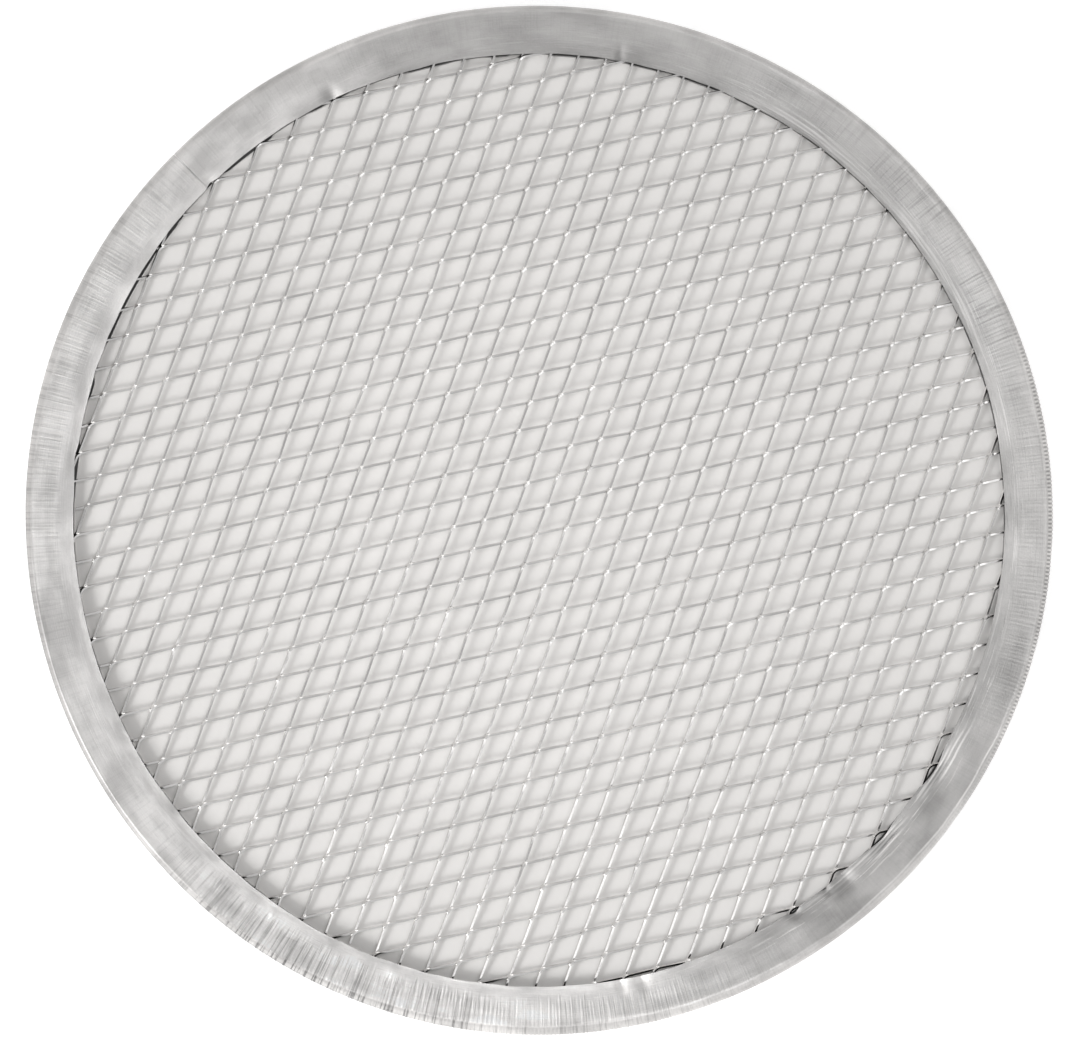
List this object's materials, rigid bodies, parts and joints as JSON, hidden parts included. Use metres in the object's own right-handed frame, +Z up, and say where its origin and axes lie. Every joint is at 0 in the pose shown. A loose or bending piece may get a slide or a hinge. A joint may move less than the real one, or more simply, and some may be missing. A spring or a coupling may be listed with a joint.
{
  "type": "pizza screen",
  "caption": "Round, flat baking screen of raised expanded metal with open diamonds, its edge clamped all round in a folded sheet rim.",
  "frame": {"origin": "middle of the circle that the rim rests on", "axes": "+Z up through the mesh, +X to the right and +Y away as seen from above, the rim's joint at 135 degrees from +X"},
  "size_m": [0.305, 0.305, 0.0036],
  "materials": {
    "rim_sheet": "rolled sheet, satin, scuffed and finely creased from folding",
    "mesh_sheet": "bare expanded sheet, satin, bright at the knuckles"
  },
  "bodies": {
    "root": {"rim": "rim_sheet", "mesh": "mesh_sheet"}
  },
  "joints": []
}
